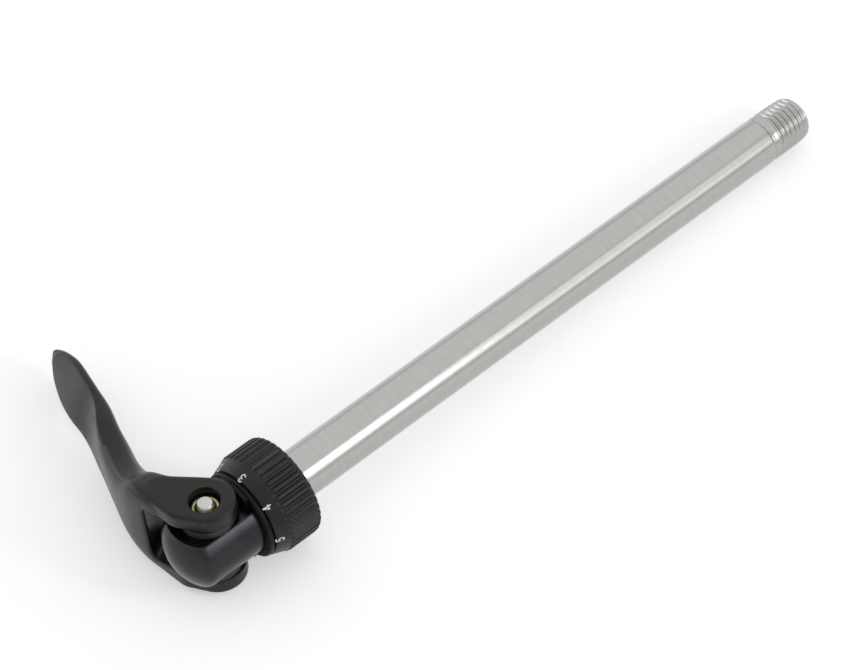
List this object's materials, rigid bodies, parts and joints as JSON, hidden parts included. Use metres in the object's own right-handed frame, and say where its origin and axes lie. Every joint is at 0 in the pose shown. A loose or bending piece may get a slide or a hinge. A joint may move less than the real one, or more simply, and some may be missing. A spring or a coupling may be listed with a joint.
{
  "type": "bicycle thru axle",
  "caption": "Rear thru axle for a bicycle: hollow threaded axle, forged black cam lever on a cross pin, and a ridged black dial that sets the clamping force",
  "frame": {"origin": "centre of the clamp face on the axle's axis", "axes": "+X along the axle towards its threaded tip, +Y across the axle on the side that the closed lever points to, +Z along the lever's cross pin"},
  "size_m": [0.1998, 0.0829, 0.0252],
  "materials": {
    "anodised_tube": "satin",
    "black_alloy": "satin",
    "bare_steel": "satin",
    "yellow_zinc": "satin",
    "bearing_bronze": "satin",
    "black_washer": "matt",
    "seal_rubber": "matt"
  },
  "bodies": {
    "axle": {"axle_tube": "anodised_tube", "head_block": "black_alloy", "lock_pin": "bare_steel", "pivot_sleeve": "yellow_zinc", "pivot_rivet": "bare_steel", "pivot_bush": "bearing_bronze", "ear_washer_upper": "black_washer", "ear_washer_lower": "black_washer", "return_spring": "bare_steel", "retaining_ring": "bare_steel"},
    "lever": {"lever": "black_alloy"},
    "follower": {"follower": "black_alloy", "dial_stop_ring": "bare_steel"},
    "clamp_ring": {"clamp_washer": "bare_steel", "dust_seal": "seal_rubber"},
    "dial": {"adjusting_dial": "black_alloy", "detent_spring": "bare_steel"}
  },
  "joints": [
    {"name": "lever_swing", "type": "hinge", "parent": "axle", "child": "lever", "pos_m": [-0.02215, 0, 0], "axis": [0, 0, 1], "range_deg": [0, 150]},
    {"name": "follower_slide", "type": "slide", "parent": "axle", "child": "follower", "axis": [1, 0, 0], "range_m": [-0.00103, 0]},
    {"name": "dial_advance", "type": "slide", "parent": "follower", "child": "clamp_ring", "axis": [1, 0, 0], "range_m": [-0.00046875, 0.0001875]},
    {"name": "dial_turn", "type": "hinge", "parent": "clamp_ring", "child": "dial", "pos_m": [0, 0, 0], "axis": [1, 0, 0], "range_deg": [-225.1, 90.1]}
  ],
  "couplings": [
    {"joint": "follower_slide", "follows": "lever_swing", "m_per_rad": -0.000392},
    {"joint": "dial_turn", "follows": "dial_advance", "rad_per_m": 8377.6}
  ]
}
